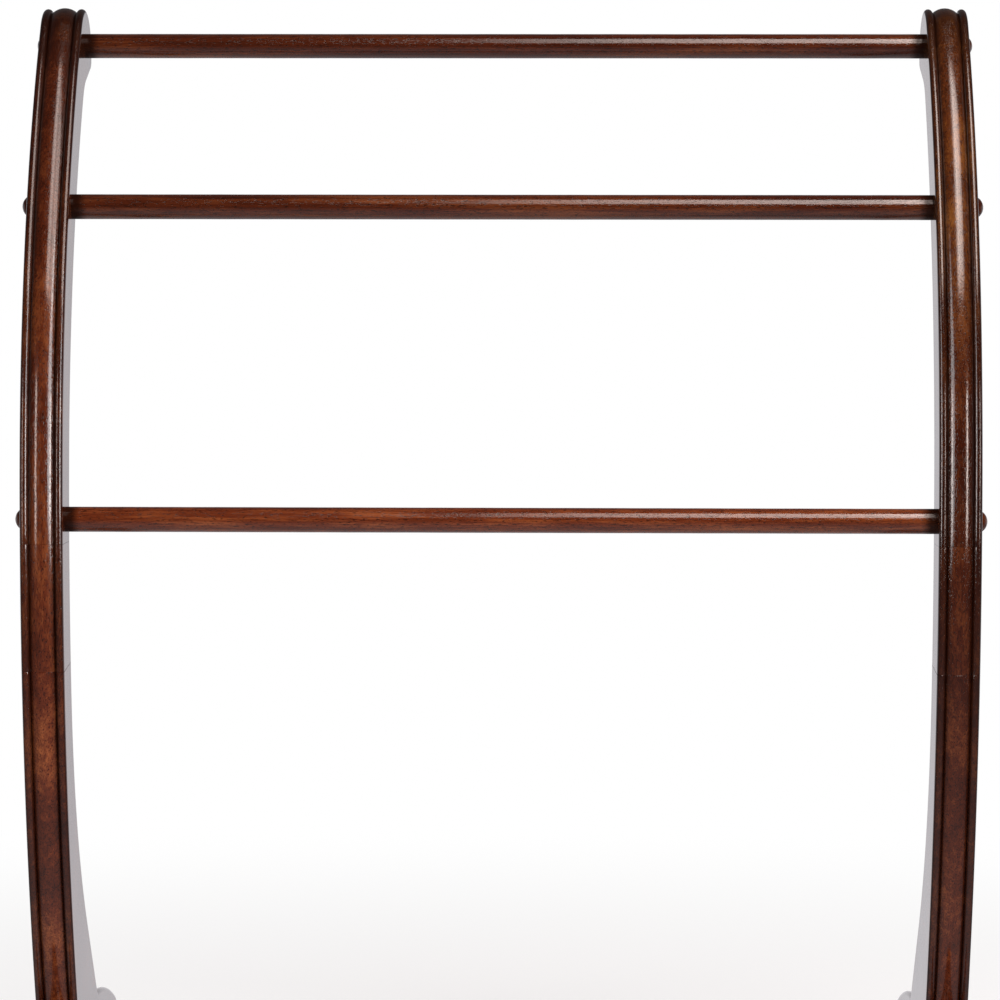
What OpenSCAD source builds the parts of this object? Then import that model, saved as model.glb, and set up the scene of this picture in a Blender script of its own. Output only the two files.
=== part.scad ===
// Free-standing quilt rack: two bowed, moulded side boards joined by four round rails.
// X runs across the rack, Y from front to back, Z up; the origin is on the floor, in the middle.
// A side board is drawn in its own plane as [depth, height]: depth 0 is the front of the flat
// face at the bow's most forward point, and height 0 is the floor.

/* [Rack] */
// Width over the outer faces of the two sides
rack_w = 721; // [500:1:1000]
// Length of the foot's flat face, from front toe to back toe
foot_len = 342; // [335:1:380]

/* [Side boards] */
// Thickness of a side board
board_t = 32.5; // [30:0.5:38]
// Depth of the flat face along the bow
band_d = 36; // [34:0.5:40]
// Height of the bow's most forward point
waist_h = 483; // [475:1:495]
// Front radius of the bow above that point
upper_r = 606; // [590:1:620]
// Front radius of the bow below that point
lower_r = 988; // [960:1:1010]
// Turn of the bow, below its most forward point, at the upper glued joint
upper_joint_turn = 3.55; // [3.4:0.05:4]
// Turn of the bow at the lower glued joint
lower_joint_turn = 9.15; // [8:0.05:10.5]

/* [Head] */
// Radius of the rounded head
head_r = 31; // [29:0.5:33]
// Turn of the bow from its most forward point up to the head
head_turn = 34.2; // [32:0.1:36]
// Distance from the middle of the head down to its underside
under_d = 18.5; // [17:0.5:20]
// Slope of the underside
under_slope = 25; // [20:1:30]
// Radius of the rounded beak behind the head
beak_r = 6; // [4:0.5:8]
// Radius of the hollow between underside and neck
throat_r = 40; // [30:1:45]

/* [Flare and foot] */
// Turn of the bow at which the back edge starts to flare
flare_start = 11; // [10.6:0.1:12]
// Slope from upright at which the flare ends
flare_end = 45; // [42:1:46]
// Radius of the flare
flare_r = 350; // [330:1:360]
// Height of the glued joint between lower board and foot
joint_h = 66; // [66:1:70]
// Height of the foot's top beside the board
foot_top = 54.5; // [52:0.5:55]
// Radius of the hollows where the foot meets the board
corner_r = 8; // [6:0.5:8]
// Radius of each toe's nose
nose_r = 12; // [10:0.5:14]
// Height of the nose's centre
nose_h = 25; // [22:0.5:26]
// Length of the standing pad under each toe
pad_len = 52; // [45:1:70]
// Height of the relief between the two pads
relief_h = 10; // [8:0.5:12]
// Corner radius of the relief
relief_r = 5; // [3:0.5:7]

/* [Edge moulding] */
// Radius of the half-round bead along each face
bead_r = 3.25; // [2:0.25:3.5]
// Rise of the crown between the beads
crown_rise = 4; // [3:0.25:4]

/* [Rails] */
// Diameter of the rails
rail_d = 19; // [16:0.5:19]
// Depth of the blind socket that holds a rail's end
socket_depth = 9; // [6:0.5:10]
// Height of the top rail's axis above the middle of the head
top_rail_rise = 5.5; // [0:0.5:6]
// Turn of the bow up to the second rail
second_rail_turn = 19.5; // [15:0.1:24]
// Turn of the bow down to the third rail
third_rail_turn = 2.5; // [1.4:0.1:2.8]
// Height of the lowest rail, which ties the feet together
lowest_rail_h = 34; // [30:0.5:36]

/* [Fixings] */
// Diameter of the screws' threads
screw_d = 4.2; // [3.5:0.1:5]
// Length of the screws under the head
screw_len = 44.5; // [38:0.5:50]
// Diameter of the screw heads
screw_head_d = 8.4; // [7:0.1:9]
// Height of the screw heads
screw_head_h = 3; // [2:0.5:3]
// Diameter of the bored hole for a screw's head and a cover button's stem
counterbore_d = 9.5; // [9.2:0.1:11]
// Depth of that hole
counterbore_depth = 9; // [8:0.5:10]
// Diameter of the domed cover buttons
button_d = 16; // [12:0.5:18]
// Height of a button's dome above its rim
button_rise = 4.8; // [3:0.1:6]
// Height of a button's rim
button_rim = 1; // [0.5:0.1:1.5]
// Diameter of the dowels in the glued joints
dowel_d = 8; // [6:0.5:8]
// Length of those dowels
dowel_len = 30; // [24:1:30]
// Spacing of the two dowels in a joint along the bow
dowel_gap = 18; // [17:0.5:18]
// Spacing of the two dowels between lower board and foot
foot_dowel_gap = 50; // [30:1:60]

/* [Glides] */
// Diameter of a glide
glide_d = 18; // [14:0.5:22]
// Thickness of a glide's disc
glide_t = 3; // [2:0.5:4]
// Diameter of the pin that holds a glide
glide_pin_d = 3; // [2:0.5:4]
// Length of that pin
glide_pin_len = 10; // [6:1:12]
// Distance from a toe's end to the middle of its glide
glide_inset = 24; // [20:1:30]

/* [Hidden] */
$fn = 128;

LEFT = -1;
RIGHT = 1;
BEAD_STEPS = 4;
CROWN_STEPS = 6;
STAIN = "#4a2417";
RAIL_STAIN = "#54291b";
BUTTON_STAIN = "#3a1c13";

half_t = board_t / 2;
half_clear = rack_w / 2 - board_t;
side_x = rack_w / 2 - half_t;
overshoot = 10;

function dir(angle) = [cos(angle), sin(angle)];
function bearing(from, to) = atan2(to.y - from.y, to.x - from.x);

// Bow: two arcs that meet, both upright, at the waist
upper_c = [upper_r, waist_h];
lower_c = [lower_r, waist_h];
neck_r = upper_r - band_d;
back_r = lower_r - band_d;
mid_upper_r = upper_r - band_d / 2;
mid_lower_r = lower_r - band_d / 2;

// Head: a disc that touches the bow's front arc from inside, cut off along a sloping underside
head_c = upper_c + (upper_r - head_r) * dir(180 - head_turn);
down_normal = dir(under_slope - 90);
beak_reach = sqrt((head_r - beak_r) ^ 2 - (under_d - beak_r) ^ 2);
beak_c = head_c + (under_d - beak_r) * down_normal + beak_reach * dir(under_slope);
beak_a = bearing(head_c, beak_c);
throat_from = head_c + (under_d + throat_r) * down_normal - upper_c;
throat_b = throat_from * dir(under_slope);
throat_q = throat_from * throat_from - (neck_r - throat_r) ^ 2;
throat_c = upper_c + throat_from - (throat_b + sqrt(throat_b ^ 2 - throat_q)) * dir(under_slope);
throat_a = bearing(upper_c, throat_c);

// Flare of the back edge, then a straight run down to the foot
flare_c = lower_c + (back_r - flare_r) * dir(180 + flare_start);
flare_tip = flare_c + flare_r * dir(180 + flare_end);

// Foot: hollow corners against the board, and a toe each way that ends in a rounded nose
corner_h = foot_top + corner_r;
front_corner_a = asin((waist_h - corner_h) / (lower_r + corner_r));
front_corner = lower_c + (lower_r + corner_r) * dir(180 + front_corner_a);
back_corner_run = (corner_r - (corner_h - flare_tip.y) * sin(flare_end)) / cos(flare_end);
back_corner = [flare_tip.x + back_corner_run, corner_h];
nose_drop = foot_top - nose_h;
front_toe_r = toe_radius(front_corner.x - nose_r);
back_toe_r = toe_radius(foot_len - nose_r - back_corner.x);
front_toe_c = [front_corner.x, foot_top - front_toe_r];
back_toe_c = [back_corner.x, foot_top - back_toe_r];
front_nose = [nose_r, nose_h];
back_nose = [foot_len - nose_r, nose_h];
front_toe_a = bearing(front_toe_c, front_nose);
back_toe_a = bearing(back_toe_c, back_nose);
foot_bottom = glide_t;
foot_mid = (front_corner.x + back_corner.x) / 2;

// Radius of the arc that is level above the corner and touches a nose that lies `run` further on
function toe_radius(run) =
    (run ^ 2 + nose_drop ^ 2 - nose_r ^ 2) / (2 * (nose_drop - nose_r));

// Rail axes in the side plane, from the top down
RAIL_AXES = [
    head_c + [0, top_rail_rise],
    upper_c + mid_upper_r * dir(180 - second_rail_turn),
    lower_c + mid_lower_r * dir(180 + third_rail_turn),
    [foot_mid, lowest_rail_h]
];

BOW_JOINT_TURNS = [upper_joint_turn, lower_joint_turn];
GLIDE_DEPTHS = [glide_inset, foot_len - glide_inset];

// Puts what is drawn in the side plane, with the board's mid-plane at z = 0, on one side
module on_side(side) {
    mirror([side == LEFT ? 1 : 0, 0, 0])
        translate([side_x, -foot_len / 2, 0])
            rotate([90, 0, 90])
                children();
}

// Moulding, as [outward, across] points from one face of a board to the other
crown_half = half_t - 2 * bead_r;
crown_r = (crown_half ^ 2 + crown_rise ^ 2) / (2 * crown_rise);
crown_a = asin(crown_half / crown_r);
function bead_points(centre) =
    [for (i = [0:BEAD_STEPS]) let (a = 180 * i / BEAD_STEPS) [bead_r * sin(a), centre - bead_r * cos(a)]];
function crown_points() =
    [for (i = [1:CROWN_STEPS - 1]) let (a = crown_a * (2 * i / CROWN_STEPS - 1))
        [crown_rise - crown_r + crown_r * cos(a), crown_r * sin(a)]];
MOULDING = concat(bead_points(bead_r - half_t), crown_points(), bead_points(half_t - bead_r));

// Stations along an edge are [point, outward direction]; an arc gives one at each step, from `skip` on
function outside_arc(centre, radius, first, last, steps, skip = 1) =
    [for (i = [skip:steps]) let (a = first + (last - first) * i / steps) [centre + radius * dir(a), dir(a)]];
function hollow_arc(centre, radius, first, last, steps, skip = 1) =
    [for (i = [skip:steps]) let (a = first + (last - first) * i / steps) [centre + radius * dir(a), -dir(a)]];

// Board between a front and a back edge, which both run upwards and have equally many stations.
// The two edges may end in one shared station, and there is no end face then.
module moulded_board(front, back, shared_end = false) {
    count = len(front);
    width = len(MOULDING);
    last = count - 1;
    rim = width - 1;
    points = [
        for (edge = [front, back])
            for (station = edge)
                for (p = MOULDING)
                    [station[0].x + p[0] * station[1].x, station[0].y + p[0] * station[1].y, p[1]]
    ];
    function f(i, k) = i * width + k;
    function b(i, k) = (count + i) * width + k;
    steps = [for (i = [0:last - 1]) for (k = [0:rim - 1]) [i, k]];
    front_faces = [for (s = steps) let (i = s[0], k = s[1])
        [f(i, k), f(i + 1, k), f(i + 1, k + 1), f(i, k + 1)]];
    back_faces = [for (s = steps) let (i = s[0], k = s[1])
        [b(i, k), b(i, k + 1), b(i + 1, k + 1), b(i + 1, k)]];
    flat_faces = [
        for (i = [0:last - 1])
            each shared_end && i == last - 1
                ? [[f(i, 0), b(i, 0), f(i + 1, 0)], [f(i, rim), f(i + 1, rim), b(i, rim)]]
                : [
                    [f(i, 0), b(i, 0), b(i + 1, 0), f(i + 1, 0)],
                    [f(i, rim), f(i + 1, rim), b(i + 1, rim), b(i, rim)]
                ]
    ];
    start_faces = [for (k = [0:rim - 1]) [f(0, k), f(0, k + 1), b(0, k + 1), b(0, k)]];
    end_faces = shared_end ? [] :
        [for (k = [0:rim - 1]) [f(last, k), b(last, k), b(last, k + 1), f(last, k + 1)]];
    polyhedron(points, concat(front_faces, back_faces, flat_faces, start_faces, end_faces));
}

// The same moulding with true curves: x is outward from the edge, y is across the board
module moulding_section() {
    for (sign = [-1, 1])
        translate([0, sign * (half_t - bead_r)])
            intersection() {
                circle(bead_r);
                translate([0, -bead_r])
                    square([bead_r, 2 * bead_r]);
            }
    intersection() {
        translate([crown_rise - crown_r, 0])
            circle(crown_r);
        translate([0, -crown_half])
            square([crown_rise, 2 * crown_half]);
    }
}

// Blind socket inside, counterbore outside, and the screw's hole between them
module rail_hole(axis) {
    translate([axis.x, axis.y, -half_t - overshoot])
        cylinder(d = rail_d, h = socket_depth + overshoot);
    translate([axis.x, axis.y, -half_t])
        cylinder(d = screw_d, h = board_t);
    translate([axis.x, axis.y, half_t - counterbore_depth])
        cylinder(d = counterbore_d, h = counterbore_depth + overshoot);
}

module dowel() {
    chamfer = 1;
    straight = dowel_len - 2 * chamfer;
    cylinder(d = dowel_d, h = straight, center = true);
    for (end = [0, 1])
        mirror([0, 0, end])
            translate([0, 0, straight / 2])
                cylinder(d1 = dowel_d, d2 = dowel_d - 2 * chamfer, h = chamfer);
}

// The two dowels across the glued joint at this turn of the bow
module bow_dowels(turn) {
    for (sign = [-1, 1])
        translate(lower_c + (mid_lower_r + sign * dowel_gap / 2) * dir(180 + turn))
            rotate([0, 0, turn])
                rotate([90, 0, 0])
                    dowel();
}

module foot_dowels() {
    for (sign = [-1, 1])
        translate([foot_mid + sign * foot_dowel_gap / 2, joint_h, 0])
            rotate([90, 0, 0])
                dowel();
}

// Upper board, from the upper glued joint over the waist and the neck to the head
module upper_blank() {
    joint_a = 180 + upper_joint_turn;
    head_a = 180 - head_turn;
    back_head_steps = 4;
    front_head_steps = 11;
    head_steps = back_head_steps + front_head_steps;
    tip_a = beak_a + (head_a - beak_a) * back_head_steps / head_steps;
    front = concat(
        outside_arc(lower_c, lower_r, joint_a, 180, 3, 0),
        outside_arc(upper_c, upper_r, 180, head_a, 18),
        outside_arc(head_c, head_r, head_a, tip_a, front_head_steps)
    );
    back = concat(
        hollow_arc(lower_c, back_r, joint_a, 180, 3, 0),
        hollow_arc(upper_c, neck_r, 180, throat_a, 15),
        hollow_arc(throat_c, throat_r, throat_a, under_slope + 90, 4),
        outside_arc(beak_c, beak_r, under_slope - 90, beak_a, 5, 0),
        outside_arc(head_c, head_r, beak_a, tip_a, back_head_steps)
    );
    moulded_board(front, back, shared_end = true);
}

module upper_board(side) {
    color(STAIN)
        on_side(side)
            difference() {
                upper_blank();
                for (axis = [RAIL_AXES[0], RAIL_AXES[1], RAIL_AXES[2]])
                    rail_hole(axis);
                bow_dowels(upper_joint_turn);
            }
}

// Middle board: a plain stretch of the bow, of one section throughout
module middle_board(side) {
    color(STAIN)
        on_side(side)
            difference() {
                translate(lower_c)
                    rotate([0, 0, 180 + upper_joint_turn])
                        rotate_extrude(angle = lower_joint_turn - upper_joint_turn) {
                            translate([lower_r, 0])
                                moulding_section();
                            translate([back_r, 0])
                                mirror([1, 0])
                                    moulding_section();
                            translate([back_r, -half_t])
                                square([band_d, board_t]);
                        }
                for (turn = BOW_JOINT_TURNS)
                    bow_dowels(turn);
            }
}

// Turn of the bow where its front edge comes down to the foot joint
foot_joint_turn = asin((waist_h - joint_h) / lower_r);

// Point on the straight run below the flare at a given height
function flare_run(height) =
    [flare_tip.x + (flare_tip.y - height) * tan(flare_end), height];

module above_foot_joint() {
    translate([-foot_len, joint_h, -board_t])
        cube([3 * foot_len, waist_h, 2 * board_t]);
}

module below_foot_joint() {
    translate([-foot_len, joint_h - waist_h, -board_t])
        cube([3 * foot_len, waist_h, 2 * board_t]);
}

// Lower board, from the foot through the flare to the lower glued joint
module lower_blank() {
    joint_a = 180 + lower_joint_turn;
    flare_a = 180 + flare_start;
    front = outside_arc(lower_c, lower_r, 181 + foot_joint_turn, joint_a, 16, 0);
    back = concat(
        [[flare_run(joint_h - overshoot), dir(flare_end)]],
        hollow_arc(flare_c, flare_r, 180 + flare_end, flare_a, 13, 0),
        hollow_arc(lower_c, back_r, flare_a, joint_a, 2)
    );
    moulded_board(front, back);
}

module lower_board(side) {
    color(STAIN)
        on_side(side)
            difference() {
                lower_blank();
                below_foot_joint();
                bow_dowels(lower_joint_turn);
                foot_dowels();
            }
}

// Foot: both toes, the hollow corners against the board, and a short stub of the board itself
module foot_blank() {
    front = concat(
        [[[0, foot_bottom], [-1, 0]]],
        outside_arc(front_nose, nose_r, 180, front_toe_a, 5, 0),
        outside_arc(front_toe_c, front_toe_r, front_toe_a, 90, 5),
        hollow_arc(front_corner, corner_r, -90, front_corner_a, 8),
        outside_arc(lower_c, lower_r, 180 + front_corner_a, 179 + foot_joint_turn, 1)
    );
    back = concat(
        [[[foot_len, foot_bottom], [1, 0]]],
        outside_arc(back_nose, nose_r, 0, back_toe_a, 6, 0),
        outside_arc(back_toe_c, back_toe_r, back_toe_a, 90, 7),
        hollow_arc(back_corner, corner_r, -90, flare_end - 180, 5),
        [[flare_run(joint_h + overshoot), dir(flare_end)]]
    );
    moulded_board(front, back);
}

// Relief under the foot, with rounded upper corners
module foot_relief() {
    low = pad_len + relief_r;
    high = foot_len - pad_len - relief_r;
    corner_height = foot_bottom + relief_h - relief_r;
    start = foot_bottom - overshoot;
    translate([0, 0, -board_t])
        linear_extrude(2 * board_t)
            polygon(concat(
                [[pad_len, start]],
                [for (a = [180:-15:90]) [low, corner_height] + relief_r * dir(a)],
                [for (a = [90:-15:0]) [high, corner_height] + relief_r * dir(a)],
                [[foot_len - pad_len, start]]
            ));
}

module foot(side) {
    color(STAIN)
        on_side(side)
            difference() {
                foot_blank();
                above_foot_joint();
                foot_relief();
                foot_dowels();
                rail_hole(RAIL_AXES[3]);
                for (depth = GLIDE_DEPTHS)
                    glide_pin(depth);
            }
}

module rail(axis) {
    length = 2 * (half_clear + socket_depth);
    pilot = screw_len - (board_t - socket_depth - counterbore_depth) + 1;
    color(RAIL_STAIN)
        translate([0, axis.x - foot_len / 2, axis.y])
            rotate([0, 90, 0])
                difference() {
                    cylinder(d = rail_d, h = length, center = true);
                    for (end = [0, 1])
                        mirror([0, 0, end])
                            translate([0, 0, length / 2 - pilot])
                                cylinder(d = screw_d, h = pilot + 1);
                }
}

// Domed button with a stem that fills the counterbore above the screw's head
module button(side, axis) {
    dome_r = (button_d ^ 2 / 4 + button_rise ^ 2) / (2 * button_rise);
    stem = counterbore_depth - screw_head_h;
    color(BUTTON_STAIN)
        on_side(side)
            translate([axis.x, axis.y, half_t]) {
                translate([0, 0, -stem])
                    cylinder(d = counterbore_d, h = stem);
                cylinder(d = button_d, h = button_rim);
                intersection() {
                    translate([0, 0, button_rim + button_rise - dome_r])
                        sphere(dome_r);
                    translate([0, 0, button_rim])
                        cylinder(d = button_d, h = button_rise);
                }
            }
}

module screw(axis) {
    tip = 5;
    seat = half_t - counterbore_depth;
    translate([axis.x, axis.y, seat])
        cylinder(d = screw_head_d, h = screw_head_h);
    translate([axis.x, axis.y, seat - screw_len + tip])
        cylinder(d = screw_d, h = screw_len - tip);
    translate([axis.x, axis.y, seat - screw_len])
        cylinder(d1 = 0, d2 = screw_d, h = tip);
}

module rail_screws(side) {
    color("silver")
        on_side(side)
            for (axis = RAIL_AXES)
                screw(axis);
}

module joint_dowels(side) {
    color("burlywood")
        on_side(side) {
            for (turn = BOW_JOINT_TURNS)
                bow_dowels(turn);
            foot_dowels();
        }
}

module glide_pin(depth) {
    translate([depth, glide_t, 0])
        rotate([-90, 0, 0])
            cylinder(d = glide_pin_d, h = glide_pin_len);
}

module glide(side, depth) {
    color("#3b3733")
        on_side(side) {
            translate([depth, 0, 0])
                rotate([-90, 0, 0])
                    cylinder(d = glide_d, h = glide_t);
            glide_pin(depth);
        }
}

upper_board(LEFT);  // left_upper_board
upper_board(RIGHT);  // right_upper_board
middle_board(LEFT);  // left_middle_board
middle_board(RIGHT);  // right_middle_board
lower_board(LEFT);  // left_lower_board
lower_board(RIGHT);  // right_lower_board
foot(LEFT);  // left_foot
foot(RIGHT);  // right_foot
rail(RAIL_AXES[0]);  // top_rail
rail(RAIL_AXES[1]);  // second_rail
rail(RAIL_AXES[2]);  // third_rail
rail(RAIL_AXES[3]);  // lowest_rail
button(LEFT, RAIL_AXES[0]);  // left_top_button
button(RIGHT, RAIL_AXES[0]);  // right_top_button
button(LEFT, RAIL_AXES[1]);  // left_second_button
button(RIGHT, RAIL_AXES[1]);  // right_second_button
button(LEFT, RAIL_AXES[2]);  // left_third_button
button(RIGHT, RAIL_AXES[2]);  // right_third_button
button(LEFT, RAIL_AXES[3]);  // left_lowest_button
button(RIGHT, RAIL_AXES[3]);  // right_lowest_button
rail_screws(LEFT);  // left_rail_screws
rail_screws(RIGHT);  // right_rail_screws
joint_dowels(LEFT);  // left_joint_dowels
joint_dowels(RIGHT);  // right_joint_dowels
glide(LEFT, GLIDE_DEPTHS[0]);  // left_front_glide
glide(RIGHT, GLIDE_DEPTHS[0]);  // right_front_glide
glide(LEFT, GLIDE_DEPTHS[1]);  // left_back_glide
glide(RIGHT, GLIDE_DEPTHS[1]);  // right_back_glide
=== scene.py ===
import math
import bmesh
import bpy
from mathutils import Matrix, Vector

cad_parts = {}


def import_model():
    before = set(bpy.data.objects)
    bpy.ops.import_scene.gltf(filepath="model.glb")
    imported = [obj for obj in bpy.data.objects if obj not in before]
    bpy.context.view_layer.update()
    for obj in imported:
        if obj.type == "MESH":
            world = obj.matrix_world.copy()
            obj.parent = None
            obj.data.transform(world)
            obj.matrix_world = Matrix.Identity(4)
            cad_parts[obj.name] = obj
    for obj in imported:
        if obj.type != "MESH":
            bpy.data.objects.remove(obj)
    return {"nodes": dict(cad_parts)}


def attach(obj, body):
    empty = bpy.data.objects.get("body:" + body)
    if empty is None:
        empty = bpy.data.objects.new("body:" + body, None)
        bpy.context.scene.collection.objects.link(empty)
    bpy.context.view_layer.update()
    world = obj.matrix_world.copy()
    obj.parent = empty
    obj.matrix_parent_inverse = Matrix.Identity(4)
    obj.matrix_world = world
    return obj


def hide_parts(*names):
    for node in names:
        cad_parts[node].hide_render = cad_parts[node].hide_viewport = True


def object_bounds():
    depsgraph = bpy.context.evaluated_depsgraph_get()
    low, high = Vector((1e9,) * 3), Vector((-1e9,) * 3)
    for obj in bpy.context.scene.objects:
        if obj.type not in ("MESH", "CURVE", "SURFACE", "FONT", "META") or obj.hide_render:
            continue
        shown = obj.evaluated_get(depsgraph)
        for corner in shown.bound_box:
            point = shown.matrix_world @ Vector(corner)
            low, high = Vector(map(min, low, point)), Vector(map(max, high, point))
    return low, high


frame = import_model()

CAD_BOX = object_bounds()
NODES = frame["nodes"]
LEFT, RIGHT = -1, 1
SIDES = (("left", LEFT), ("right", RIGHT))

# The rack's measures, in millimetres, as in the CAD: a side's plane is (depth, height)
RACK_W, FOOT_LEN, BOARD_T, BAND_D = 721.0, 342.0, 32.5, 36.0
WAIST_H, UPPER_R, LOWER_R = 483.0, 606.0, 988.0
UPPER_JOINT, LOWER_JOINT = 3.55, 9.15
HEAD_R, HEAD_TURN, UNDER_D, UNDER_SLOPE = 31.0, 34.2, 18.5, 25.0
BEAK_R, THROAT_R = 6.0, 40.0
FLARE_START, FLARE_END, FLARE_R = 11.0, 45.0, 350.0
JOINT_H, FOOT_TOP, CORNER_R, NOSE_R, NOSE_H = 66.0, 54.5, 8.0, 12.0, 25.0
PAD_LEN, RELIEF_H, RELIEF_R, GLIDE_T = 52.0, 10.0, 5.0, 3.0
BEAD_R, CROWN_RISE = 3.25, 4.0
RAIL_D, SOCKET = 19.0, 9.0
BUTTON_D, BUTTON_RISE, BUTTON_RIM, BUTTON_STEM_D, BUTTON_STEM = 16.0, 4.8, 1.0, 9.5, 6.0
TOP_RISE, SECOND_TURN, THIRD_TURN, LOWEST_H = 5.5, 19.5, 2.5, 34.0

HALF_T = BOARD_T / 2
SIDE_X = RACK_W / 2 - HALF_T
HALF_CLEAR = RACK_W / 2 - BOARD_T
MM = 0.001

# Fine shape that the CAD leaves out, in millimetres
CUT_CHAMFER = 0.25
FLAT_MARGIN = 0.6
RAIL_CHAMFER, RAIL_SETBACK, TOOL_WAVE = 0.8, 0.05, 0.06
STEM_CHAMFER, RIM_ROUND, DOME_SETBACK, DOME_TIP = 0.3, 0.35, 0.1, 0.05

# How far a board is drawn past its joint with the foot before it is cut there
OVERRUN, OVERTURN = 10.0, 1.0

SHARP_EDGE = math.radians(28)
WELD = 1e-6
BEAD_STEPS, CROWN_STEPS = 10, 16


def ray(angle):
    return Vector((math.cos(math.radians(angle)), math.sin(math.radians(angle))))


def bearing(a, b):
    return math.degrees(math.atan2(b.y - a.y, b.x - a.x))


# --- The side's outline, built up as in the CAD ----------------------------------------------
UPPER_C = Vector((UPPER_R, WAIST_H))
LOWER_C = Vector((LOWER_R, WAIST_H))
NECK_R = UPPER_R - BAND_D
BACK_R = LOWER_R - BAND_D
HEAD_C = UPPER_C + (UPPER_R - HEAD_R) * ray(180 - HEAD_TURN)
DOWN = ray(UNDER_SLOPE - 90)
BEAK_REACH = math.sqrt((HEAD_R - BEAK_R) ** 2 - (UNDER_D - BEAK_R) ** 2)
BEAK_C = HEAD_C + (UNDER_D - BEAK_R) * DOWN + BEAK_REACH * ray(UNDER_SLOPE)
BEAK_A = bearing(HEAD_C, BEAK_C)
THROAT_FROM = HEAD_C + (UNDER_D + THROAT_R) * DOWN - UPPER_C
THROAT_B = THROAT_FROM.dot(ray(UNDER_SLOPE))
THROAT_Q = THROAT_FROM.dot(THROAT_FROM) - (NECK_R - THROAT_R) ** 2
THROAT_RUN = THROAT_B + math.sqrt(THROAT_B ** 2 - THROAT_Q)
THROAT_C = UPPER_C + THROAT_FROM - THROAT_RUN * ray(UNDER_SLOPE)
THROAT_A = bearing(UPPER_C, THROAT_C) % 360
FLARE_C = LOWER_C + (BACK_R - FLARE_R) * ray(180 + FLARE_START)
FLARE_TIP = FLARE_C + FLARE_R * ray(180 + FLARE_END)
CORNER_H = FOOT_TOP + CORNER_R
FRONT_CORNER_A = math.degrees(math.asin((WAIST_H - CORNER_H) / (LOWER_R + CORNER_R)))
FRONT_CORNER = LOWER_C + (LOWER_R + CORNER_R) * ray(180 + FRONT_CORNER_A)
FLARE_SIN, FLARE_COS = math.sin(math.radians(FLARE_END)), math.cos(math.radians(FLARE_END))
BACK_CORNER = Vector((
    FLARE_TIP.x + (CORNER_R - (CORNER_H - FLARE_TIP.y) * FLARE_SIN) / FLARE_COS, CORNER_H))
FOOT_MID = (FRONT_CORNER.x + BACK_CORNER.x) / 2
FOOT_JOINT_TURN = math.degrees(math.asin((WAIST_H - JOINT_H) / LOWER_R))

RAIL_AXES = {
    "top": HEAD_C + Vector((0, TOP_RISE)),
    "second": UPPER_C + (UPPER_R - BAND_D / 2) * ray(180 - SECOND_TURN),
    "third": LOWER_C + (LOWER_R - BAND_D / 2) * ray(180 + THIRD_TURN),
    "lowest": Vector((FOOT_MID, LOWEST_H)),
}


def toe_radius(run):
    drop = FOOT_TOP - NOSE_H
    return (run ** 2 + drop ** 2 - NOSE_R ** 2) / (2 * (drop - NOSE_R))


def flare_run(height):
    """The point of the flare's straight end at a height."""
    return Vector((FLARE_TIP.x + (FLARE_TIP.y - height) * FLARE_SIN / FLARE_COS, height))


def outside_arc(centre, radius, first, last, steps, skip=1):
    """Stations, each a point and its outward direction, on an edge that bulges."""
    angles = [first + (last - first) * i / steps for i in range(skip, steps + 1)]
    return [(centre + radius * ray(a), ray(a)) for a in angles]


def hollow_arc(centre, radius, first, last, steps, skip=1):
    """The same on an edge that is hollow."""
    return [(point, -out) for point, out in outside_arc(centre, radius, first, last, steps, skip)]


# --- Edge moulding: (outward, across) ----------------------------------------------------------
CROWN_HALF = HALF_T - 2 * BEAD_R
CROWN_R = (CROWN_HALF ** 2 + CROWN_RISE ** 2) / (2 * CROWN_RISE)
CROWN_A = math.degrees(math.asin(CROWN_HALF / CROWN_R))


def moulding():
    """Bead, crown and bead from one face to the other."""
    def bead(centre):
        turns = [math.pi * i / BEAD_STEPS for i in range(BEAD_STEPS + 1)]
        return [(BEAD_R * math.sin(a), centre - BEAD_R * math.cos(a)) for a in turns]
    crown = []
    for i in range(1, CROWN_STEPS):
        a = CROWN_A * (2 * i / CROWN_STEPS - 1)
        crown.append((CROWN_RISE - CROWN_R + CROWN_R * ray(a).x, CROWN_R * ray(a).y))
    return bead(BEAD_R - HALF_T) + crown + bead(HALF_T - BEAD_R)


MOULDING = moulding()


def to_frame(side, depth, height, across):
    """A point of a side's plane, in metres: across is outwards from the board's middle."""
    level = min(height * MM, CAD_BOX[1][2])
    return side * (SIDE_X + across) * MM, (depth - FOOT_LEN / 2) * MM, level


def ring_of(front, back, inset=0.0):
    """One closed ring round the board: the front moulding, a flat, the back moulding, a flat."""
    ring = []
    for (point, out), order in ((front, 1), (back, -1)):
        profile = MOULDING[::order]
        pts = [(point + (p[0] - inset) * out, p[1] * (1 - inset / HALF_T)) for p in profile]
        before = (point - FLAT_MARGIN * out, pts[0][1])
        after = (point - FLAT_MARGIN * out, pts[-1][1])
        ring += [before] + pts + [after]
    return ring


def end_rings(front, next_front, back, next_back, chamfer):
    """The two rings of a cut end: the end's own, drawn in, and the full one a little along."""
    def along(a, b):
        return a[0] + (b[0] - a[0]).normalized() * chamfer, a[1]
    full = ring_of(along(front, next_front), along(back, next_back))
    return [ring_of(front, back, inset=chamfer), full]


def shade(bm):
    """Smooth faces, with the sharp edges kept sharp."""
    for f in bm.faces:
        f.smooth = True
    for e in bm.edges:
        e.smooth = e.calc_face_angle(0.0) < SHARP_EDGE


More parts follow.
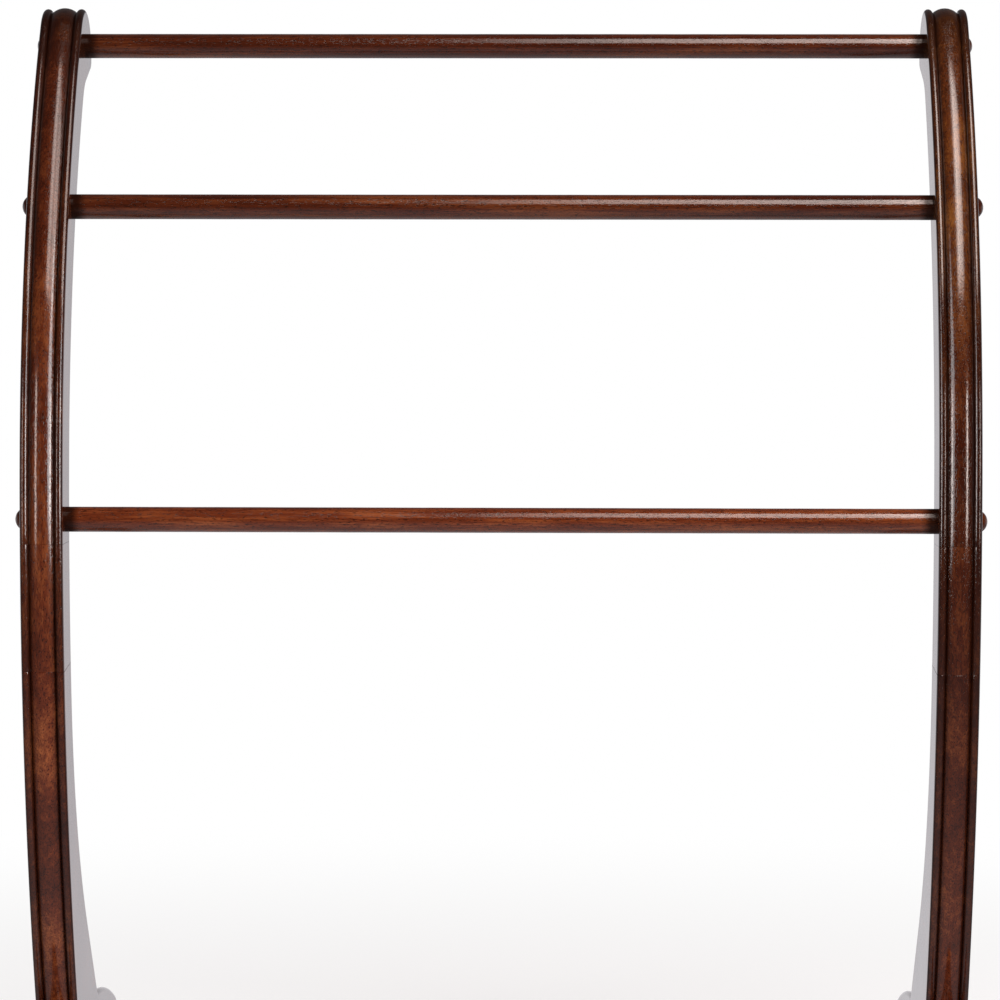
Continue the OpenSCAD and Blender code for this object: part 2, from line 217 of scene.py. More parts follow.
def tidy_mesh(mesh):
    """Welds doubled points, drops faces without area and turns every face outwards."""
    bm = bmesh.new()
    bm.from_mesh(mesh)
    bmesh.ops.remove_doubles(bm, verts=bm.verts, dist=WELD)
    bmesh.ops.dissolve_degenerate(bm, edges=bm.edges, dist=WELD)
    bmesh.ops.recalc_face_normals(bm, faces=bm.faces)
    if bm.calc_volume(signed=True) < 0:
        bmesh.ops.reverse_faces(bm, faces=bm.faces)
    shade(bm)
    bm.to_mesh(mesh)
    bm.free()


def new_object(name, verts, faces):
    mesh = bpy.data.meshes.new(name)
    mesh.from_pydata(verts, [], faces)
    tidy_mesh(mesh)
    obj = bpy.data.objects.new(name, mesh)
    bpy.context.scene.collection.objects.link(obj)
    return obj


def loft(name, side, front, back, shared_end=False, chamfer=CUT_CHAMFER):
    """The board between two edges of equally many stations, with a small chamfer at cut ends."""
    rings = [ring_of(f, b) for f, b in zip(front, back)]
    if chamfer:
        rings[0:1] = end_rings(front[0], front[1], back[0], back[1], chamfer)
        if not shared_end:
            rings[-1:] = end_rings(front[-1], front[-2], back[-1], back[-2], chamfer)[::-1]
    n = len(rings[0])
    verts = [to_frame(side, p.x, p.y, z) for ring in rings for p, z in ring]
    faces = []
    for i in range(len(rings) - 1):
        for k in range(n):
            m = (k + 1) % n
            faces.append((i * n + k, i * n + m, (i + 1) * n + m, (i + 1) * n + k))
    faces += end_cap(0, False) + end_cap((len(rings) - 1) * n, True)
    return new_object(name, verts, faces)


def end_cap(base, flip):
    """End face in quads across the board, from the front moulding to the back one."""
    width = len(MOULDING) + 2
    quads = []
    for k in range(width - 1):
        a, b = base + k, base + k + 1
        c, d = base + 2 * width - 2 - k, base + 2 * width - 1 - k
        quads.append((d, c, b, a) if flip else (a, b, c, d))
    return quads


def upper_board(name, side):
    joint_a, head_a = 180 + UPPER_JOINT, 180 - HEAD_TURN
    back_head, front_head = 16, 44
    tip_a = BEAK_A + (head_a - BEAK_A) * back_head / (back_head + front_head)
    front = (outside_arc(LOWER_C, LOWER_R, joint_a, 180, 12, 0)
             + outside_arc(UPPER_C, UPPER_R, 180, head_a, 72)
             + outside_arc(HEAD_C, HEAD_R, head_a, tip_a, front_head))
    back = (hollow_arc(LOWER_C, BACK_R, joint_a, 180, 12, 0)
            + hollow_arc(UPPER_C, NECK_R, 180, THROAT_A, 60)
            + hollow_arc(THROAT_C, THROAT_R, THROAT_A, UNDER_SLOPE + 90, 16)
            + outside_arc(BEAK_C, BEAK_R, UNDER_SLOPE - 90, BEAK_A, 23, 0)
            + outside_arc(HEAD_C, HEAD_R, BEAK_A, tip_a, back_head))
    assert len(front) == len(back), (len(front), len(back))
    return loft(name, side, front, back, shared_end=True)


def middle_board(name, side):
    a, b = 180 + LOWER_JOINT, 180 + UPPER_JOINT
    front = outside_arc(LOWER_C, LOWER_R, a, b, 20, 0)
    back = hollow_arc(LOWER_C, BACK_R, a, b, 20, 0)
    return loft(name, side, front, back)


def lower_board(name, side):
    joint_a, flare_a = 180 + LOWER_JOINT, 180 + FLARE_START
    steps, back_extra = 54, 8
    foot_a = 180 + FOOT_JOINT_TURN + OVERTURN
    front = outside_arc(LOWER_C, LOWER_R, foot_a, joint_a, steps + back_extra + 1, 0)
    back = ([(flare_run(JOINT_H - OVERRUN), ray(FLARE_END))]
            + hollow_arc(FLARE_C, FLARE_R, 180 + FLARE_END, flare_a, steps, 0)
            + hollow_arc(LOWER_C, BACK_R, flare_a, joint_a, back_extra))
    assert len(front) == len(back), (len(front), len(back))
    board = loft(name, side, front, back)
    cut(board, keep_above=True)
    return board


def cut(obj, keep_above):
    """Cuts the mesh along the joint's level and closes it there."""
    bm = bmesh.new()
    bm.from_mesh(obj.data)
    geom = bm.verts[:] + bm.edges[:] + bm.faces[:]
    res = bmesh.ops.bisect_plane(
        bm, geom=geom, plane_co=(0, 0, JOINT_H * MM), plane_no=(0, 0, 1),
        clear_inner=keep_above, clear_outer=not keep_above)
    edges = [e for e in res["geom_cut"] if isinstance(e, bmesh.types.BMEdge)]
    bmesh.ops.contextual_create(bm, geom=edges)
    bmesh.ops.recalc_face_normals(bm, faces=bm.faces)
    shade(bm)
    bm.to_mesh(obj.data)
    bm.free()


def foot(name, side):
    front_toe_r = toe_radius(FRONT_CORNER.x - NOSE_R)
    back_toe_r = toe_radius(FOOT_LEN - NOSE_R - BACK_CORNER.x)
    front_toe_c = Vector((FRONT_CORNER.x, FOOT_TOP - front_toe_r))
    back_toe_c = Vector((BACK_CORNER.x, FOOT_TOP - back_toe_r))
    front_nose, back_nose = Vector((NOSE_R, NOSE_H)), Vector((FOOT_LEN - NOSE_R, NOSE_H))
    front_toe_a, back_toe_a = bearing(front_toe_c, front_nose), bearing(back_toe_c, back_nose)
    board_a = 180 + FOOT_JOINT_TURN - OVERTURN
    front = ([(Vector((0, GLIDE_T)), Vector((-1, 0)))]
             + outside_arc(front_nose, NOSE_R, 180, front_toe_a, 16, 0)
             + outside_arc(front_toe_c, front_toe_r, front_toe_a, 90, 20)
             + hollow_arc(FRONT_CORNER, CORNER_R, -90, FRONT_CORNER_A, 20)
             + outside_arc(LOWER_C, LOWER_R, 180 + FRONT_CORNER_A, board_a, 1))
    back = ([(Vector((FOOT_LEN, GLIDE_T)), Vector((1, 0)))]
            + outside_arc(back_nose, NOSE_R, 0, back_toe_a, 18, 0)
            + outside_arc(back_toe_c, back_toe_r, back_toe_a, 90, 26)
            + hollow_arc(BACK_CORNER, CORNER_R, -90, FLARE_END - 180, 12)
            + [(flare_run(JOINT_H + OVERRUN), ray(FLARE_END))])
    assert len(front) == len(back), (len(front), len(back))
    obj = loft(name, side, front, back, chamfer=0.0)
    cut(obj, keep_above=False)
    relieve(obj, side)
    return obj


def relieve(obj, side):
    """Cuts the relief between the two standing pads into the foot's underside."""
    low, high = PAD_LEN + RELIEF_R, FOOT_LEN - PAD_LEN - RELIEF_R
    top = GLIDE_T + RELIEF_H - RELIEF_R
    clear_below = -10.0
    outline = [Vector((PAD_LEN, clear_below))]
    outline += [Vector((low, top)) + RELIEF_R * ray(a) for a in range(180, 89, -10)]
    outline += [Vector((high, top)) + RELIEF_R * ray(a) for a in range(90, -1, -10)]
    outline += [Vector((FOOT_LEN - PAD_LEN, clear_below))]
    count = len(outline)
    verts = [to_frame(side, p.x, p.y, z) for z in (-BOARD_T, BOARD_T) for p in outline]
    faces = [tuple(range(count)), tuple(range(2 * count - 1, count - 1, -1))]
    for i in range(count):
        following = (i + 1) % count
        faces.append((i, i + count, following + count, following))
    cutter = new_object("relief_cutter", verts, faces)
    modifier = obj.modifiers.new("relief", "BOOLEAN")
    modifier.operation, modifier.solver, modifier.object = "DIFFERENCE", "EXACT", cutter
    bake_modifiers(obj)
    bpy.data.objects.remove(cutter)


def bake_modifiers(obj):
    """Turns the modifiers' result into the object's own mesh."""
    bpy.context.view_layer.update()
    evaluated = obj.evaluated_get(bpy.context.evaluated_depsgraph_get())
    mesh = bpy.data.meshes.new_from_object(evaluated)
    obj.modifiers.clear()
    obj.data = mesh
    mesh.name = obj.name
    tidy_mesh(mesh)


def turned(name, profile, segments, matrix):
    """A turned piece: the profile is (radius, along) from one end to the other, in millimetres."""
    verts, faces = [], []
    for r, z in profile:
        for s in range(segments):
            a = 2 * math.pi * s / segments
            verts.append(matrix @ Vector((r * math.cos(a) * MM, r * math.sin(a) * MM, z * MM)))
    last = (len(profile) - 1) * segments
    for low in range(0, last, segments):
        high = low + segments
        for s in range(segments):
            t = (s + 1) % segments
            faces.append((low + s, low + t, high + t, high + s))
    faces.append(tuple(range(segments))[::-1])
    faces.append(tuple(range(last, last + segments)))
    return new_object(name, [tuple(v) for v in verts], faces)


def rail(name, axis):
    """Turned rail with faint tool waves along it, never proud of its true diameter."""
    half = HALF_CLEAR + SOCKET
    r = RAIL_D / 2
    rings, segments = 90, 96
    profile = [(r - RAIL_CHAMFER, -half), (r - RAIL_SETBACK, -half + RAIL_CHAMFER)]
    for i in range(1, rings):
        z = -half + 2 * half * i / rings
        long_wave = 0.25 * math.sin(z * 0.071 + axis.x)
        short_wave = 0.25 * math.sin(z * 0.187 + axis.y)
        profile.append((r - TOOL_WAVE * (0.5 + long_wave + short_wave), z))
    profile += [(r - RAIL_SETBACK, half - RAIL_CHAMFER), (r - RAIL_CHAMFER, half)]
    place = Matrix.Translation((0, (axis.x - FOOT_LEN / 2) * MM, axis.y * MM))
    return turned(name, profile, segments, place @ Matrix.Rotation(math.pi / 2, 4, "Y"))


def button(name, side, axis):
    """Domed button: stem, flat back, small rounded rim and the dome."""
    r, stem_r = BUTTON_D / 2, BUTTON_STEM_D / 2
    dome_r = (BUTTON_D ** 2 / 4 + BUTTON_RISE ** 2) / (2 * BUTTON_RISE)
    rim_steps, dome_steps, segments = 4, 14, 64
    profile = [(stem_r - STEM_CHAMFER, -BUTTON_STEM), (stem_r, -BUTTON_STEM + STEM_CHAMFER),
               (stem_r, 0.0), (r - RIM_ROUND, 0.0)]
    for i in range(1, rim_steps + 1):
        turn = RIM_ROUND * ray(90 * i / rim_steps - 90)
        profile.append((r - RIM_ROUND + turn.x, RIM_ROUND + turn.y))
    profile.append((r, BUTTON_RIM - DOME_SETBACK))
    first = math.asin((r - DOME_SETBACK) / dome_r)
    tip = BUTTON_RIM + BUTTON_RISE
    for i in range(dome_steps):
        a = first * (1 - i / dome_steps)
        profile.append((dome_r * math.sin(a), tip - dome_r + dome_r * math.cos(a)))
    profile.append((DOME_TIP, tip))
    out = Matrix.Rotation(side * math.pi / 2, 4, "Y")
    at = (side * RACK_W / 2 * MM, (axis.x - FOOT_LEN / 2) * MM, axis.y * MM)
    return turned(name, profile, segments, Matrix.Translation(at) @ out)


# --- Materials -------------------------------------------------------------------------------
class Tree:
    """Small helper for building one material's nodes."""

    def __init__(self, name):
        self.material = bpy.data.materials.new(name)
        self.material.use_nodes = True
        self.nodes = self.material.node_tree.nodes
        self.links = self.material.node_tree.links
        self.nodes.clear()
        self.out = self.nodes.new("ShaderNodeOutputMaterial")
        self.shader = self.nodes.new("ShaderNodeBsdfPrincipled")
        self.links.new(self.shader.outputs[0], self.out.inputs["Surface"])
        self.position = self.nodes.new("ShaderNodeTexCoord").outputs["Object"]

    def link(self, value, socket):
        if isinstance(value, (int, float, tuple, Vector)):
            socket.default_value = value
        else:
            self.links.new(value, socket)

    def shade(self, name, value):
        self.link(value, self.shader.inputs[name])

    def math(self, operation, a, b=0.0, clamp=False):
        node = self.nodes.new("ShaderNodeMath")
        node.operation, node.use_clamp = operation, clamp
        self.link(a, node.inputs[0])
        self.link(b, node.inputs[1])
        return node.outputs[0]

    def times(self, a, b):
        return self.math("MULTIPLY", a, b)

    def weighted(self, parts):
        """The sum of some values, each times its weight."""
        total = 0.0
        for number, (value, weight) in enumerate(parts):
            term = self.times(value, weight)
            total = self.math("ADD", total, term) if number else term
        return total

    def step(self, value, low, high):
        """0 below low, 1 above high, smooth between them."""
        node = self.nodes.new("ShaderNodeMapRange")
        node.interpolation_type = "SMOOTHSTEP"
        self.link(value, node.inputs["Value"])
        node.inputs["From Min"].default_value = low
        node.inputs["From Max"].default_value = high
        return node.outputs["Result"]

    def scale(self, value, low, high, to_low, to_high):
        node = self.nodes.new("ShaderNodeMapRange")
        self.link(value, node.inputs["Value"])
        node.inputs["From Min"].default_value = low
        node.inputs["From Max"].default_value = high
        node.inputs["To Min"].default_value = to_low
        node.inputs["To Max"].default_value = to_high
        return node.outputs["Result"]

    def spread(self, noise, to_low, to_high):
        """Spreads a noise's usual values over a range."""
        return self.scale(noise, 0.3, 0.7, to_low, to_high)

    def mapping(self, vector, location=(0, 0, 0), rotation=(0, 0, 0), scale=(1, 1, 1)):
        node = self.nodes.new("ShaderNodeMapping")
        self.link(vector, node.inputs["Vector"])
        node.inputs["Location"].default_value = location
        node.inputs["Rotation"].default_value = rotation
        node.inputs["Scale"].default_value = scale
        return node.outputs[0]

    def noise(self, vector, scale, detail=3.0, rough=0.5, distortion=0.0):
        node = self.nodes.new("ShaderNodeTexNoise")
        self.link(vector, node.inputs["Vector"])
        node.inputs["Scale"].default_value = scale
        node.inputs["Detail"].default_value = detail
        node.inputs["Roughness"].default_value = rough
        node.inputs["Distortion"].default_value = distortion
        return node.outputs["Fac"]

    def drawn_out(self, vector, stretch, *settings):
        """Noise drawn out along Z: stretch is its scale there beside its scale across."""
        return self.noise(self.mapping(vector, scale=(1, 1, stretch)), *settings)

    def vector(self, operation, a, b, socket=1):
        node = self.nodes.new("ShaderNodeVectorMath")
        node.operation = operation
        self.link(a, node.inputs[0])
        self.link(b, node.inputs[socket])
        return node.outputs[0]

    def mix(self, fac, a, b):
        node = self.nodes.new("ShaderNodeMix")
        node.data_type = "RGBA"
        self.link(fac, node.inputs[0])
        self.link(a, node.inputs[6])
        self.link(b, node.inputs[7])
        return node.outputs[2]

    def glaze_and_shade(self, colour, where, depth=1.0):
        """Darkens a colour towards a dark brown: real glazing in some places, painted shade in
        others.
        """
        return self.mix(self.times(where, depth), colour, (*GLAZE_AND_SHADE, 1))

    def ramp(self, fac, stops):
        node = self.nodes.new("ShaderNodeValToRGB")
        ramp = node.color_ramp
        while len(ramp.elements) < len(stops):
            ramp.elements.new(0.5)
        for element, (position, colour) in zip(ramp.elements, stops):
            element.position, element.color = position, (*colour, 1.0)
        self.link(fac, node.inputs[0])
        return node.outputs[0]

    def bump(self, height, distance):
        node = self.nodes.new("ShaderNodeBump")
        node.inputs["Strength"].default_value = 1.0
        node.inputs["Distance"].default_value = distance
        self.link(height, node.inputs["Height"])
        return node.outputs[0]


STAIN_DARK = (0.014, 0.0024, 0.0009)
STAIN_MID = (0.062, 0.0116, 0.0034)
STAIN_WARM = (0.185, 0.0520, 0.0150)
# Dark brown of glazing, also used for painted shade
GLAZE_AND_SHADE = (0.0060, 0.0018, 0.0010)

# Painted shade on the heads' tops, and the golden cast of one board, with the heights over which
# they set in
HEAD_SHADE_FROM, HEAD_SHADE_TO, HEAD_SHADE_TONE = 0.780, 0.834, 0.22
GOLD_FROM, GOLD_TO, GOLD = 0.50, 0.70, (1.0, 1.32, 0.95)

# Clear coat, the thinner coat of the painted shadow at the rails' ends, and the depth of the grain
# under it and of its own unevenness
COAT, END_SHADOW_COAT, COAT_IOR = 0.9, 0.2, 1.45
GRAIN_DEPTH, FILM_DEPTH = 0.00010, 0.00006

SEED_SHIFT = (0.37, 0.19, 0.53)


def wood_figure(t, local):
    """Broad bands, growth lines, fine streaks and pores, all drawn out along the grain."""
    wander = t.drawn_out(local, 0.35, 9.0, 2.0)
    broad = t.drawn_out(local, 0.10, 38.0, 3.0, 0.55, 0.6)
    lines = t.drawn_out(local, 0.035, 260.0, 4.0, 0.62, 0.25)
    fine = t.drawn_out(local, 0.05, 900.0, 3.0, 0.6)
    pores = t.drawn_out(local, 0.22, 1300.0, 2.0, 0.5)
    figure = t.weighted(((broad, 0.52), (lines, 0.40), (wander, 0.22), (fine, 0.32)))
    return t.scale(figure, 0.50, 0.96, 0.0, 1.0), lines, fine, t.step(pores, 0.55, 0.65)


def stain_and_shade(t, figure, height, tones, moulded, golden):
    """The colour of the stained wood, darker or lighter with the height on the piece: partly the
    depth of the staining, partly painted light and shade, with painted shade on the heads' tops.
    """
    low_tone, high_tone, low, high = tones
    colour = t.ramp(figure, [(0.0, STAIN_DARK), (0.48, STAIN_MID), (1.0, STAIN_WARM)])
    # The tone is partly the depth of the staining and partly painted light and shade
    tone = t.scale(height, low, high, low_tone, high_tone)
    if moulded:
        # Painted shade: the heads' tops are darkened, as the light comes from the front and leaves
        # them dark
        tone = t.times(tone, t.scale(height, HEAD_SHADE_FROM, HEAD_SHADE_TO, 1.0, HEAD_SHADE_TONE))
    colour = t.vector("SCALE", colour, tone, socket="Scale")
    if golden:
        gilded = t.vector("MULTIPLY", colour, GOLD)
        colour = t.mix(t.step(height, GOLD_FROM, GOLD_TO), colour, gilded)
    return colour


def glaze_and_shade_moulding(t, colour, side, local):
    """Darkening on the moulding and the faces: glazing with painted shade in the grooves, painted
    shade on the flanks, the dark staining kept on beads and faces. Also gives the mask of the flat
    faces.
    """
    crown_edge = CROWN_HALF * MM
    off = t.math("ABSOLUTE", t.math("SUBTRACT", side, SIDE_X * MM))
    # Glaze lies in the two grooves, unevenly, and stands there for painted shade in the recess too
    groove = t.math("ABSOLUTE", t.math("SUBTRACT", off, crown_edge))
    width = t.spread(t.drawn_out(local, 0.3, 160.0, 3.0), 0.0011, 0.0024)
    groove_glaze_and_shade = t.math("SUBTRACT", 1.0, t.math("DIVIDE", groove, width), clamp=True)
    colour = t.glaze_and_shade(colour, groove_glaze_and_shade, 0.85)
    # Painted shade up the crown's flanks, and a painted dark line along the beads' outer flanks,
    # for the dark that these flanks reflect
    flank_shade = t.times(t.step(off, 0.0050, 0.0088), t.math("LESS_THAN", off, crown_edge))
    flat = t.step(off, (HALF_T - 0.5) * MM, (HALF_T - 0.1) * MM)
    arris_shade = t.step(off, (HALF_T - 1.5) * MM, (HALF_T - 0.7) * MM)
    arris_shade = t.times(arris_shade, t.math("SUBTRACT", 1.0, flat))
    colour = t.glaze_and_shade(colour, t.math("MAXIMUM", t.times(flank_shade, 0.5), t.times(arris_shade, 0.7)))
    # Only the crown is rubbed back to the redder wood: beads and faces keep the dark staining
    kept = t.step(off, crown_edge, (CROWN_HALF + 0.8) * MM)
    return t.glaze_and_shade(colour, kept, 0.55), flat


def lacquer(t, coat, grain, film):
    """Clear coat over the stained wood: the grain shows through it, and it is uneven itself."""
    smudge = t.noise(t.position, 22.0, 4.0, 0.6)
    t.shade("Roughness", t.spread(smudge, 0.38, 0.56))
    t.shade("Specular IOR Level", 0.0)
    t.shade("Coat Weight", coat)
    t.shade("Coat IOR", COAT_IOR)
    t.shade("Coat Roughness", t.spread(smudge, 0.06, 0.12))
    t.shade("Normal", t.bump(grain, GRAIN_DEPTH))
    t.shade("Coat Normal", t.bump(film, FILM_DEPTH))


def wood(name, turn, seed, tones, moulded=True, ends=False, along="Z", golden=False):
    """Stained and lacquered wood, its grain along Z turned by `turn` degrees about X, or along X.

    `tones` is (the tone at the low end, at the high end, low height, high height): on the side
    boards partly the depth of the staining, partly painted light and shade."""
    t = Tree(name)
    rotation = (math.radians(turn), 0, 0) if along == "Z" else (0, math.radians(90), 0)
    shift = tuple(seed * part for part in SEED_SHIFT)
    local = t.mapping(t.position, location=shift, rotation=rotation)
    figure, lines, fine, pore = wood_figure(t, local)
    axes = t.nodes.new("ShaderNodeSeparateXYZ")
    t.links.new(t.position, axes.inputs[0])
    side = t.math("ABSOLUTE", axes.outputs["X"])
    colour = stain_and_shade(t, figure, axes.outputs["Z"], tones, moulded, golden)
    colour = t.glaze_and_shade(colour, pore, 0.70)
    grain = t.weighted(((lines, 0.35), (pore, -0.8)))
    film = t.weighted(((fine, 0.7), (pore, -0.5), (t.noise(t.position, 420.0, 2.0), 0.22)))
    coat = COAT
    if moulded:
        colour, flat = glaze_and_shade_moulding(t, colour, side, local)
        # The lacquer on the flat faces is rubbed out smoother than on the moulding
        film = t.times(film, t.scale(flat, 0.0, 1.0, 1.0, 0.2))
    if ends:
        # Painted shadow where the rail enters the board, in the shade of the board's front: darker
        # colour, and a thinner coat that reflects less
        near = t.step(side, (HALF_CLEAR - 13) * MM, (HALF_CLEAR - 4) * MM)
        colour = t.glaze_and_shade(colour, near, 0.9)
        coat = t.scale(near, 0.0, 1.0, COAT, END_SHADOW_COAT)
    t.shade("Base Color", colour)
    lacquer(t, coat, grain, film)
    return t.material


def bare_wood():
    t = Tree("dowel_wood")
    lines = t.drawn_out(t.position, 0.06, 700.0, 4.0, 0.6)
    t.shade("Base Color", t.ramp(lines, [(0.3, (0.36, 0.22, 0.11)), (0.7, (0.62, 0.44, 0.26))]))
    t.shade("Roughness", t.spread(lines, 0.55, 0.8))
    t.shade("Normal", t.bump(lines, 0.0001))
    return t.material


def screw_steel():
    t = Tree("screw_steel")
    lines = t.noise(t.mapping(t.position, scale=(0.05, 1, 1)), 1800.0, 3.0)
    t.shade("Base Color", t.ramp(lines, [(0.3, (0.42, 0.42, 0.40)), (0.7, (0.68, 0.67, 0.63))]))
    t.shade("Metallic", 1.0)
    t.shade("Roughness", t.spread(lines, 0.25, 0.45))
    t.shade("Normal", t.bump(lines, 0.00003))
    return t.material


def glide_plastic():
    t = Tree("glide_plastic")
    spots = t.noise(t.position, 1400.0, 3.0, 0.6)
    scuffs = t.noise(t.mapping(t.position, scale=(1, 0.1, 1)), 500.0, 3.0, 0.6)
    stops = [(0.4, (0.020, 0.018, 0.016)), (0.75, (0.085, 0.080, 0.074))]
    t.shade("Base Color", t.ramp(scuffs, stops))
    t.shade("Roughness", t.spread(spots, 0.45, 0.7))
    t.shade("Normal", t.bump(spots, 0.00006))
    return t.material


def glowing(name):
    """A material's tree with an even white glow beside its surface shader."""
    t = Tree(name)
    glow = t.nodes.new("ShaderNodeEmission")
    glow.inputs["Strength"].default_value = 1.0
    return t, glow.outputs[0]


def floor_material():
    """Pale matt floor that runs up to the white of the backdrop all round the rack."""
    t, glow = glowing("floor")
    t.shade("Base Color", FLOOR_COLOUR)
    t.shade("Roughness", 0.9)
    t.shade("Specular IOR Level", 0.1)
    away = t.nodes.new("ShaderNodeVectorMath")
    away.operation = "LENGTH"
    t.links.new(t.position, away.inputs[0])
    blend = t.nodes.new("ShaderNodeMixShader")
    t.links.new(t.step(away.outputs["Value"], FADE_FROM, FADE_TO), blend.inputs[0])
    t.links.new(t.shader.outputs[0], blend.inputs[1])
    t.links.new(glow, blend.inputs[2])
    t.links.new(blend.outputs[0], t.out.inputs["Surface"])
    return t.material


def backdrop_material():
    t, glow = glowing("backdrop")
    t.links.new(glow, t.out.inputs["Surface"])
    return t.material


# --- The rack --------------------------------------------------------------------------------
# Each piece of a side: its name, its maker, the grain's turn from upright, the heights between
# which its tone changes, and the tone at those heights on the left and on the right; the tone is
# partly the depth of the staining and partly painted light and shade
SIDE_PIECES = (
    ("upper_board", upper_board, -13.0, (0.52, 0.78), (0.80, 0.58), (0.38, 0.84)),
    ("middle_board", middle_board, 6.3, (0.32, 0.45), (0.86, 0.85), (0.50, 0.45)),
    ("lower_board", lower_board, 17.0, (0.06, 0.32), (1.12, 0.98), (1.15, 0.50)),
    ("foot", foot, 90.0, (0.0, 0.06), (0.90, 1.05), (0.90, 1.05)),
)
RAIL_TONES = {"top": 0.52, "second": 0.52, "third": 1.00, "lowest": 0.70}
BUTTON_TONE = 0.5
SIDE_SEED, SIDE_SEED_STEP, RIGHT_SEED = 1.0, 3.7, 3.1
RAIL_SEED, RAIL_SEED_STEP, BUTTON_SEED = 20.0, 2.7, 31.0


def put(obj, material, slot, *nodes):
    obj.data.materials.clear()
    obj.data.materials.append(material)
    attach(obj, "root")
    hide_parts(*nodes)


def build_sides():
    for word, side in SIDES:
        for number, (part, build, turn, span, left_tones, right_tones) in enumerate(SIDE_PIECES):
            node = f"{word}_{part}"
            seed = SIDE_SEED + SIDE_SEED_STEP * number + (0.0 if side == LEFT else RIGHT_SEED)
            tones = (left_tones if side == LEFT else right_tones) + span
            golden = node == "right_upper_board"
            material = wood(node + "_wood", turn, seed, tones, golden=golden)
            put(build(node + "_shaped", side), material, "side_wood", node)


def even(tone):
    """The same tone at every height."""
    return tone, tone, 0.0, 1.0


def build_rails():
    for number, (level, axis) in enumerate(RAIL_AXES.items()):
        node = level + "_rail"
        seed = RAIL_SEED + RAIL_SEED_STEP * number
        material = wood(node + "_wood", 0, seed, even(RAIL_TONES[level]),
                        moulded=False, ends=True, along="X")
        put(rail(node + "_turned", axis), material, "rail_wood", node)


def build_buttons():
    material = wood("button_wood", 0, BUTTON_SEED, even(BUTTON_TONE), moulded=False, along="X")
    for word, side in SIDES:
        for level, axis in RAIL_AXES.items():
            node = f"{word}_{level}_button"
            put(button(node + "_turned", side, axis), material, "button_wood", node)


def dress_frame():
    """The CAD nodes that stay: screws, dowels and glides."""
    dress = {"_rail_screws": screw_steel(), "_joint_dowels": bare_wood(), "_glide": glide_plastic()}
    for ending, material in dress.items():
        for name, obj in NODES.items():
            if name.endswith(ending):
                obj.data.materials.clear()
                obj.data.materials.append(material)
                for polygon in obj.data.polygons:
                    polygon.material_index = 0


# --- Studio ----------------------------------------------------------------------------------
WARM_LIGHT = (1.0, 0.85, 0.78)
COOL_LIGHT = (0.97, 0.98, 1.0)
WORLD_COLOUR = (0.985, 0.96, 1.0, 1)

# The floor glows more with the distance from the rack's middle, and is pure white beyond the last
FLOOR_COLOUR = (0.80, 0.81, 0.84, 1)
FLOOR_R, BACKDROP_R = 9.0, 30.0
FADE_FROM, FADE_TO = -2.4, 2.2

# The high front boxes: name, left edge, right edge, radiance. They grow brighter to the right
FAR_BOXES = (
    ("far_first", -0.08, 0.08, 4.5),
    ("far_second", 0.08, 0.28, 9.0),
    ("far_third", 0.28, 1.00, 11.0),
    ("far_fourth", 1.00, 1.90, 6.0),
)
FAR_BOX_H = 2.64


def softbox(name, centre, towards, size, radiance, colour=WARM_LIGHT):
    """An area light with its power set from the radiance of its face."""
    data = bpy.data.lights.new(name, "AREA")
    data.shape, data.size, data.size_y = "RECTANGLE", size[0], size[1]
    data.energy = radiance * math.pi * size[0] * size[1]
    data.color = colour
    light = bpy.data.objects.new(name, data)
    bpy.context.scene.collection.objects.link(light)
    light.location = centre
    light.rotation_euler = (Vector(towards) - Vector(centre)).to_track_quat("-Z", "Y").to_euler()
    light.visible_camera = False
    return light


def flagged_panel(name, side, radiance):
    """A tall panel at one side that is turned so that only the far side board sees its face."""
    near, far = Vector((side * 0.52, -0.72)), Vector((side * 1.45, -2.60))
    middle, run = (near + far) / 2, far - near
    centre = Vector((middle.x, middle.y, 0.78))
    inward = Vector((run.y * side, -run.x * side, 0))
    softbox(name, centre, centre + inward, (run.length, 1.05), radiance, COOL_LIGHT)


def lights():
    for name, left, right, radiance in FAR_BOXES:
        x = (left + right) / 2
        softbox(name, (x, -2.27, 3.21), (x, -1.42, 2.67), (right - left, FAR_BOX_H), radiance)
    softbox("front_right", (0.75, -0.87, 1.57), (0.75, -0.02, 1.03), (0.70, 0.88), 8.5)
    softbox("left_box", (-1.55, -1.65, 0.58), (0, -0.1, 0.50), (0.36, 0.75), 14.0)
    softbox("right_box", (1.95, -1.85, 0.58), (0, -0.1, 0.50), (0.42, 0.80), 20.0)
    flagged_panel("left_panel", LEFT, 7.0)
    flagged_panel("right_panel", RIGHT, 12.0)
    top = softbox("top_box", (0.0, 0.3, 2.6), (0, 0.1, 0.3), (2.4, 2.0), 0.5, COOL_LIGHT)
    top.visible_glossy = False


def setting(name, material, hidden_from):
    """Makes the mesh just added a part of the setting that some kinds of ray don't see."""
    obj = bpy.context.object
    obj.name = name
    obj.data.materials.append(material)
    for ray_kind in hidden_from:
        setattr(obj, "visible_" + ray_kind, False)


def studio():
    lights()
    bpy.ops.mesh.primitive_circle_add(vertices=96, radius=FLOOR_R, fill_type="NGON")
    setting("floor", floor_material(), ("glossy",))
    bpy.ops.mesh.primitive_uv_sphere_add(segments=48, ring_count=24, radius=BACKDROP_R)
    setting("backdrop", backdrop_material(),
            ("diffuse", "glossy", "transmission", "volume_scatter", "shadow"))


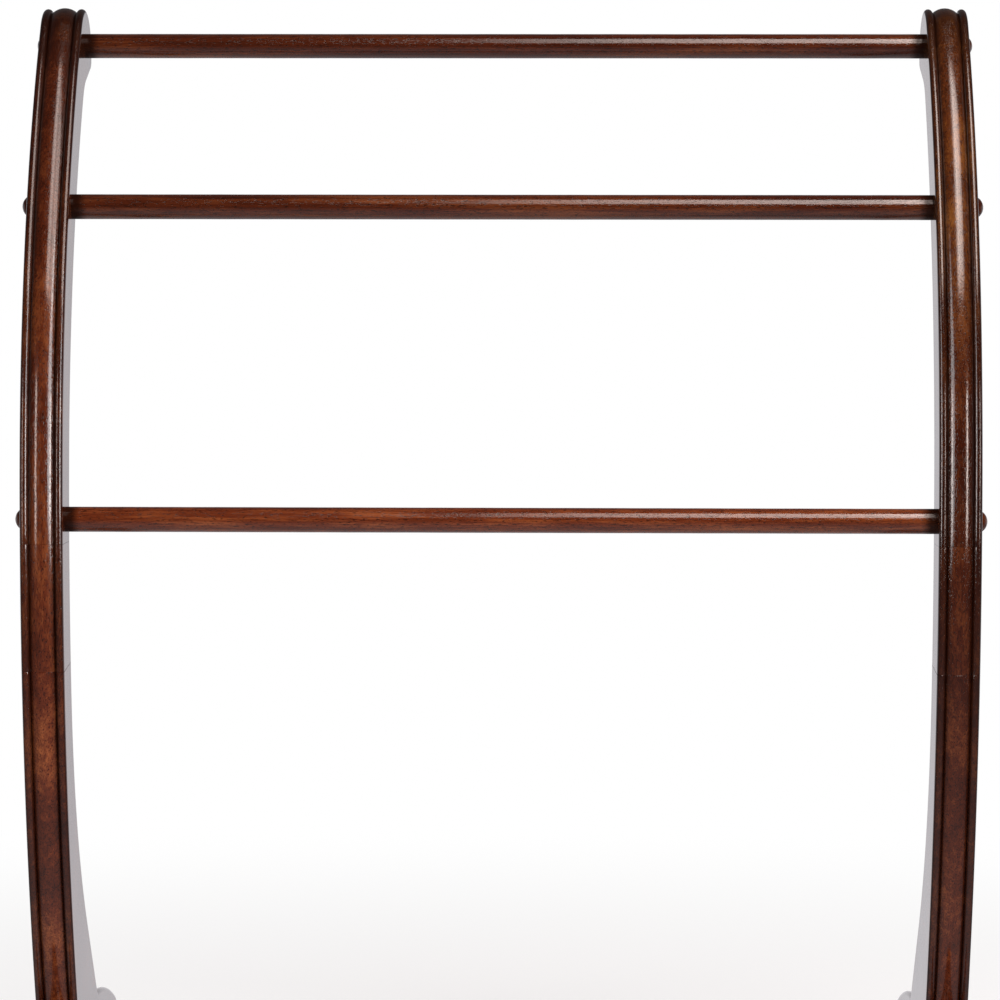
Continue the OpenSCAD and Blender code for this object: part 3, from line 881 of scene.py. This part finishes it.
def world():
    """Surroundings of the studio: a bright band behind the rack and a dim room in front of it."""
    w = bpy.data.worlds.new("studio")
    w.use_nodes = True
    bpy.context.scene.world = w
    nodes, links = w.node_tree.nodes, w.node_tree.links
    nodes.clear()
    out = nodes.new("ShaderNodeOutputWorld")
    back = nodes.new("ShaderNodeBackground")
    coord = nodes.new("ShaderNodeTexCoord")
    split = nodes.new("ShaderNodeSeparateXYZ")
    links.new(coord.outputs["Generated"], split.inputs[0])

    def fade(axis, low, high, to_low, to_high):
        node = nodes.new("ShaderNodeMapRange")
        node.interpolation_type = "SMOOTHSTEP"
        links.new(axis, node.inputs["Value"])
        limits = {"From Min": low, "From Max": high, "To Min": to_low, "To Max": to_high}
        for socket, value in limits.items():
            node.inputs[socket].default_value = value
        return node.outputs["Result"]

    def combine(operation, *values):
        node = nodes.new("ShaderNodeMath")
        node.operation = operation
        for value, socket in zip(values, node.inputs):
            links.new(value, socket)
        return node.outputs[0]

    behind = fade(split.outputs["Y"], -0.15, 0.65, 0.0, 1.0)
    level = fade(combine("ABSOLUTE", split.outputs["Z"]), 0.145, 0.24, 0.90, 0.08)
    below = fade(split.outputs["Z"], -0.95, 0.0, 0.75, 0.06)
    strength = combine("ADD", combine("MULTIPLY", behind, level), below)
    links.new(strength, back.inputs["Strength"])
    back.inputs["Color"].default_value = WORLD_COLOUR
    links.new(back.outputs[0], out.inputs["Surface"])


# The camera is level, 2.75 m in front of the bow's front, and aimed at the rack's upper part
SENSOR_W, LENS = 36.0, 132.3
BOW_FRONT, CAMERA_AWAY = -0.171, 2.75
CAMERA_X, CAMERA_Z = 0.0479, 0.4560
CAMERA_TURN, CAMERA_ROLL = 0.9965, 0.143


def camera():
    data = bpy.data.cameras.new("camera")
    data.sensor_width, data.lens = SENSOR_W, LENS
    data.clip_start, data.clip_end = 0.1, 100.0
    cam = bpy.data.objects.new("camera", data)
    bpy.context.scene.collection.objects.link(cam)
    cam.location = (CAMERA_X, BOW_FRONT - CAMERA_AWAY, CAMERA_Z)
    turn = Matrix.Rotation(math.radians(CAMERA_TURN), 4, "Z")
    upright = Matrix.Rotation(math.radians(90), 4, "X")
    roll = Matrix.Rotation(math.radians(CAMERA_ROLL), 4, "Z")
    cam.rotation_euler = (turn @ upright @ roll).to_euler()
    bpy.context.scene.camera = cam


build_sides()
build_rails()
build_buttons()
dress_frame()
studio()
world()
camera()
bpy.context.scene.view_settings.view_transform = "Standard"
